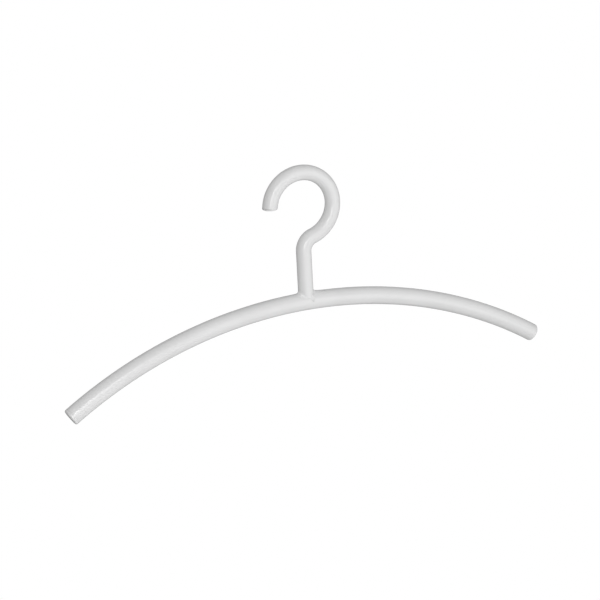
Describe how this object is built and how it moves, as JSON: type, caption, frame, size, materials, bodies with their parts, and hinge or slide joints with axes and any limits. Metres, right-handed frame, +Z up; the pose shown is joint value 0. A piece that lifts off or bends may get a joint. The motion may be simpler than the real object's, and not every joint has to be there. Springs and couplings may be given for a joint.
{
  "type": "clothes hanger",
  "caption": "Tubular clothes hanger: one long arched round bow with rounded ends and a fixed question-mark hook, glossy white sleeves over a steel core.",
  "frame": {"origin": "the seat inside the top of the hook, where the hanger rests on a rail", "axes": "+X along the bow, away from the side that the hook's tip is on; +Y to the back, across the hanger's flat side; +Z up, from the bow to the hook"},
  "size_m": [0.45, 0.0154, 0.1931],
  "materials": {
    "white_plastic": "smooth glossy white, faintly uneven, with softly rounded rims",
    "steel": "plain drawn steel, hidden inside the sleeves"
  },
  "bodies": {
    "root": {"bow_cover": "white_plastic", "hook_cover": "white_plastic", "neck_bead": "white_plastic", "bow_cap_left": "white_plastic", "bow_cap_right": "white_plastic", "hook_cap": "white_plastic", "bow_core": "steel", "hook_core": "steel", "core_weld": "steel"}
  },
  "joints": []
}
